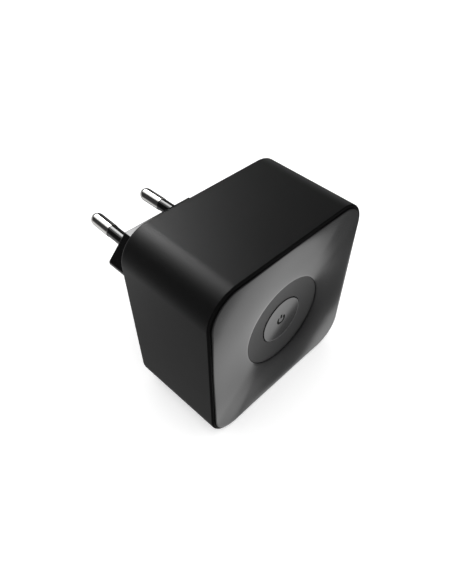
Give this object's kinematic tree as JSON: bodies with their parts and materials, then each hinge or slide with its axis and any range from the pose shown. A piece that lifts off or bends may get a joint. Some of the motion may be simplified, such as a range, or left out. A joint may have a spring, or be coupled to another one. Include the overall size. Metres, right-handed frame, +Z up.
{
  "type": "plug-in smart-home unit",
  "caption": "Small rounded-square smart-home unit that plugs into a wall outlet on two round pins, with a dished front panel, a status ring and a round push button.",
  "frame": {"origin": "centre of the plug boss's flat end face, between the two pins", "axes": "+Y along the pins into the wall outlet, the front panel faces -Y, +Z up, +X towards the right when the unit is seen from its front"},
  "size_m": [0.0512, 0.067, 0.0512],
  "materials": {
    "casing_plastic": "satin",
    "panel_gloss": "gloss",
    "smoked_ring": "satin",
    "pin_metal": "nickel-plated",
    "sleeve_plastic": "semi-gloss",
    "screw_steel": "black-zinc",
    "white_plastic": "matt",
    "contact_brass": "plain",
    "board_laminate": "solder mask",
    "shield_tin": "tin-plated",
    "chip_epoxy": "matt",
    "led_lens": "clear resin",
    "insulating_sheet": "fibre sheet",
    "ferrite": "sintered",
    "winding_tape": "polyester tape",
    "capacitor_sleeve": "shrink sleeve",
    "varistor_coating": "dipped epoxy"
  },
  "bodies": {
    "housing": {"casing": "casing_plastic", "rear_cover": "casing_plastic", "front_panel": "panel_gloss", "light_ring": "smoked_ring", "plug_pin_left": "pin_metal", "plug_pin_right": "pin_metal", "pin_sleeve_left": "sleeve_plastic", "pin_sleeve_right": "sleeve_plastic", "cover_screw_1": "screw_steel", "cover_screw_2": "screw_steel", "cover_screw_3": "screw_steel", "cover_screw_4": "screw_steel", "front_carrier": "white_plastic", "terminal_left": "contact_brass", "terminal_right": "contact_brass", "logic_board": "board_laminate", "radio_board": "board_laminate", "power_board": "board_laminate", "radio_shield": "shield_tin", "processor_chip": "chip_epoxy", "board_link": "chip_epoxy", "rectifier": "chip_epoxy", "switch_body": "chip_epoxy", "status_led_1": "led_lens", "status_led_2": "led_lens", "status_led_3": "led_lens", "status_led_4": "led_lens", "insulation_sheet": "insulating_sheet", "transformer_core": "ferrite", "noise_choke": "ferrite", "transformer_winding": "winding_tape", "input_capacitor_upper": "capacitor_sleeve", "input_capacitor_lower": "capacitor_sleeve", "output_capacitor": "capacitor_sleeve", "fuse": "white_plastic", "varistor": "varistor_coating"},
    "button": {"button_cap": "panel_gloss"},
    "key_plunger": {"switch_plunger": "white_plastic"}
  },
  "joints": [
    {"name": "button_press", "type": "slide", "parent": "housing", "child": "button", "axis": [0, 1, 0], "range_m": [0, 0.0005], "stiffness_N_per_m": 2400},
    {"name": "plunger_press", "type": "slide", "parent": "housing", "child": "key_plunger", "axis": [0, 1, 0], "range_m": [0, 0.0005]}
  ],
  "couplings": [
    {"joint": "plunger_press", "follows": "button_press", "ratio": 1}
  ]
}
